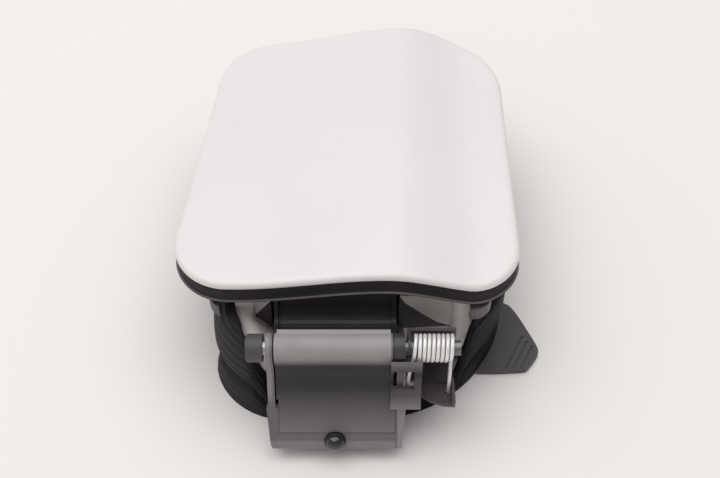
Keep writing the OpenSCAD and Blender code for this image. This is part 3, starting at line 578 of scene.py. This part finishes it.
tab = mesh_piece("boot_pull_tab", prism(cut_corners(cut_corners(TAB)), TAB_LOW, TAB_TOP), "base",
                 TAB_RUBBER, ["boot"], smooth_shade=False)
cutters = []
for i in range(GROOVES):
    x, y = (at + i * step for at, step in zip(GROOVE_AT, GROOVE_STEP))
    groove = turned_box(x, y, TAB_TOP, (GROOVE_W, GROOVE_L - i * GROOVE_SHORTER, GROOVE_H), GROOVE_TURN)
    cutter = mesh_piece("tab_groove", groove, None, TAB_RUBBER, smooth_shade=False)
    cut = tab.modifiers.new("groove", "BOOLEAN")
    cut.object = cutter
    cut.solver = "EXACT"
    cutters.append(cutter)
add_bevel(tab, TAB_BEVEL)
baked(tab, *cutters)

# The pot's flared near corners. Each row is a section from the pot's near wall out to the boot's edge,
# and the rows go from under the flange down to the hinge case.
LEFT_FLARE = [
    [(-50.0, 26.7, 3.6), (-53.5, 26.7, 3.6), (-57.0, 26.7, 3.6), (-60.1, 26.8, 3.6)],
    [(-51.5, 26.7, -4.0), (-54.5, 26.6, -4.2), (-57.5, 26.5, -4.4), (-60.2, 26.6, -4.8)],
    [(-51.9, 26.6, -9.0), (-54.0, 25.4, -8.0), (-57.0, 23.8, -7.3), (-59.5, 23.6, -7.8)],
    [(-50.6, 26.5, -14.6), (-52.2, 21.8, -8.8), (-55.4, 18.2, -8.4), (-57.9, 17.0, -9.8)],
    [(-46.8, 26.4, -19.4), (-48.9, 17.4, -10.2), (-51.9, 12.4, -9.2), (-54.3, 10.9, -10.8)],
    [(-42.6, 25.4, -22.6), (-46.6, 13.0, -11.6), (-49.8, 9.6, -11.8), (-52.1, 9.1, -17.0)],
    [(-42.0, 21.0, -22.6), (-45.4, 9.2, -14.6), (-48.6, 8.0, -17.4), (-50.7, 8.3, -24.4)],
    [(-42.6, 15.0, -20.0), (-45.0, 7.4, -16.6), (-46.9, 6.7, -23.0), (-48.1, 7.1, -28.8)],
    [(-44.0, 9.0, -18.0), (-44.9, 6.5, -19.5), (-45.6, 6.2, -25.6), (-46.2, 6.5, -30.6)],
]
RIGHT_FLARE = [
    [(44.2, 26.92, 3.4), (47.5, 26.7, 3.4), (51.5, 26.7, 3.4), (54.9, 26.9, 3.4)],
    [(44.6, 26.92, -8.0), (48.0, 25.9, -7.6), (52.0, 25.1, -7.0), (54.7, 25.0, -6.5)],
    [(44.9, 26.9, -16.0), (48.2, 24.8, -14.2), (51.8, 23.2, -12.7), (54.3, 22.9, -12.0)],
    [(45.2, 25.4, -22.0), (48.0, 23.0, -20.0), (51.4, 21.3, -18.1), (53.7, 21.1, -17.2)],
    [(45.2, 23.2, -26.4), (47.6, 21.6, -25.0), (50.4, 20.2, -23.5), (52.4, 19.9, -22.6)],
    [(45.2, 21.0, -29.6), (47.0, 20.0, -29.0), (48.8, 18.8, -27.6), (50.1, 18.3, -26.6)],
]
FLARE_T, FLARE_STEPS = 0.5, 6


def flare_skin(name, sections):
    """A thin skin on a smooth surface through the sections; its outside faces the near side."""
    rows = [through(row, FLARE_STEPS) for row in sections]
    rows = list(zip(*[through(column, FLARE_STEPS) for column in zip(*rows)]))
    n, m = len(rows[0]), len(rows)
    faces = [(i * n + j, i * n + j + 1, (i + 1) * n + j + 1, (i + 1) * n + j)
             for i in range(m - 1) for j in range(n - 1)]
    skin = mesh_piece(name, ([p for row in rows for p in row], faces), "base", FLARE_SKIN)
    middle = skin.data.polygons[len(skin.data.polygons) // 2]
    if middle.normal.y > 0:
        skin.data.flip_normals()
    shell = skin.modifiers.new("thickness", "SOLIDIFY")
    shell.thickness = metres(FLARE_T)
    shell.offset = -1
    baked(skin)


flare_skin("pot_flare_left", LEFT_FLARE)
flare_skin("pot_flare_right", RIGHT_FLARE)

# The black plates fill the slot's corners, flush with the pot's near wall, and stand in for the shade
# there: painted shade. The corners are (x, z) points.
SLOT_LEFT = [(-43.2, -1.2), (-51.2, -11.7), (-43.2, -22.2), (-43.2, -11.7)]
SLOT_RIGHT = [(19.0, 4.2), (21.7, -1.6), (29.8, -9.9), (38.0, -17.3), (44.8, -20.2), (19.0, -22.3)]
PLATE_NEAR, PLATE_FAR = 26.9, 32.1


def slot_plates():
    points, faces = [], []
    for corners in (SLOT_LEFT, SLOT_RIGHT):
        more, sides = prism(corners, PLATE_NEAR, PLATE_FAR)
        faces += [tuple(len(points) + k for k in face) for face in sides]
        points += [(x, y, z) for x, z, y in more]
    return points, faces


mesh_piece("slot_corner_shade_plates", slot_plates(), "base", SHADE_PLATE, ["slot_plates"],
           smooth_shade=False)

# Torsion spring. The wire comes up from the bracket's window, winds about the shaft and ends on the
# lever's shelf. The coil starts WIRE_LEAN to the left and is in line after LEAN_TURN degrees.
COIL_R, WIRE_D, TURNS = 5.9, 1.8, 8
COIL_X, COIL_END = (25.2, 43.3), 360 * TURNS + 202.5
WIRE_LEAN, LEAN_TURN = 0.4, 90
COIL_STEPS, WIRE_SIDES = 343, 14
LEFT_LEG = [(22.5, -7.4, -21), (22.85, -7.32, -16), (23.2, -7.2, -11), (23.55, -7.1, -7.5),
            (23.95, -6.88, -4), (24.4, -6.5, -2)]
RIGHT_LEG = [(43.15, 3.9, -5.2), (42.95, 1.8, -8.3), (42.8, -0.3, -11.4), (42.5, -4.5, -18.5),
             (42.2, -8.6, -25.5)]


def coil_route():
    coil = []
    for i in range(COIL_STEPS + 1):
        turned = COIL_END * i / COIL_STEPS
        a = math.radians(turned)
        x = mix(*COIL_X, i / COIL_STEPS) - WIRE_LEAN * max(0, 1 - turned / LEAN_TURN)
        coil.append((x, -COIL_R * math.cos(a), COIL_R * math.sin(a)))
    return LEFT_LEG + coil + RIGHT_LEG


def tube(route, radius, sides):
    """A round wire along the route. Each ring turns as little as it can from the one before."""
    route = [Vector(p) for p in route]
    angles = [2 * math.pi * k / sides for k in range(sides)]
    rings, side = [], None
    for i, p in enumerate(route):
        heading = (route[min(i + 1, len(route) - 1)] - route[max(i - 1, 0)]).normalized()
        if side is None:
            side = heading.cross(Vector((1, 0, 0))).normalized()
        side = (side - heading * side.dot(heading)).normalized()
        up = heading.cross(side)
        rings.append([tuple(p + radius * (side * math.cos(a) + up * math.sin(a))) for a in angles])
    return loft(rings, cap_first=True, cap_last=True)


spring = mesh_piece("spring_wire", tube(coil_route(), WIRE_D / 2, WIRE_SIDES), None, SPRING,
                    ["torsion_spring"])
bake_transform(spring)

# Floor, in metres
FLOOR_HALF, FLOOR_COLOR = 6, (0.93, 0.895, 0.885)
FLOOR_ROUGH, FLOOR_MOTTLE = 0.9, (0.995, 1.0)
FLOOR_CORNERS = [(-FLOOR_HALF, -FLOOR_HALF, 0), (FLOOR_HALF, -FLOOR_HALF, 0), (FLOOR_HALF, FLOOR_HALF, 0),
                 (-FLOOR_HALF, FLOOR_HALF, 0)]
mat, tree, bsdf = new_material("studio_floor")
speckle = add_node(tree, "ShaderNodeTexNoise", Scale=3.0, Detail=2.0)
color_by(tree, bsdf, FLOOR_COLOR, remapped(tree, speckle.outputs["Fac"], to=FLOOR_MOTTLE))
bsdf.inputs["Roughness"].default_value = FLOOR_ROUGH
bsdf.inputs["Specular IOR Level"].default_value = 0.0
floor = mesh_piece("studio_floor", (FLOOR_CORNERS, [(0, 1, 2, 3)]), None, mat, smooth_shade=False,
                   place=False)

# Sky: brightest low down, and brighter on the left than on the right
SKY_COLOR = (1.0, 0.98, 0.975, 1)
SKY_HEIGHTS, SKY_BY_HEIGHT = (0.0, 0.8), (0.62, 0.34)
SKY_SIDES, SKY_BY_SIDE = (-1.0, 1.0), (1.28, 0.72)
world = bpy.data.worlds.new("studio")
bpy.context.scene.world = world
world.use_nodes = True
sky = world.node_tree
direction = add_node(sky, "ShaderNodeTexCoord")
split = add_node(sky, "ShaderNodeSeparateXYZ")
sky.links.new(direction.outputs["Generated"], split.inputs["Vector"])
by_height = remapped(sky, split.outputs["Z"], SKY_HEIGHTS, SKY_BY_HEIGHT)
by_side = remapped(sky, split.outputs["X"], SKY_SIDES, SKY_BY_SIDE)
background = sky.nodes["Background"]
background.inputs["Color"].default_value = SKY_COLOR
sky.links.new(multiplied(sky, by_height, by_side), background.inputs["Strength"])

# One large soft light above
LIGHT_AT, LIGHT_TARGET = (-0.08, 0.12, 1.35), (0, 0, 0.03)
LIGHT_SIZE, LIGHT_WATTS = (1.7, 1.5), 15.7
light = bpy.data.lights.new("key_top", "AREA")
light.shape = "RECTANGLE"
light.size, light.size_y = LIGHT_SIZE
light.energy = LIGHT_WATTS
lamp = bpy.data.objects.new("key_top", light)
lamp.location = LIGHT_AT
lamp.rotation_euler = (Vector(LIGHT_TARGET) - Vector(LIGHT_AT)).to_track_quat("-Z", "Y").to_euler()
bpy.context.scene.collection.objects.link(lamp)

# Camera, found from the photo: it looks down on the hinge side
EYE_AT, EYE_TILT = (0, -274.87, 406.39), math.radians(40)
LENS, SENSOR, CLIP_START = 52.5, 36, 0.02
camera = bpy.data.cameras.new("camera")
camera.lens = LENS
camera.sensor_width = SENSOR
camera.sensor_fit = "HORIZONTAL"
camera.clip_start = CLIP_START
eye = bpy.data.objects.new("camera", camera)
eye.location = H(EYE_AT)
eye.rotation_euler = (EYE_TILT, 0, 0)
bpy.context.scene.collection.objects.link(eye)
bpy.context.scene.camera = eye
bpy.context.scene.view_settings.view_transform = "Standard"
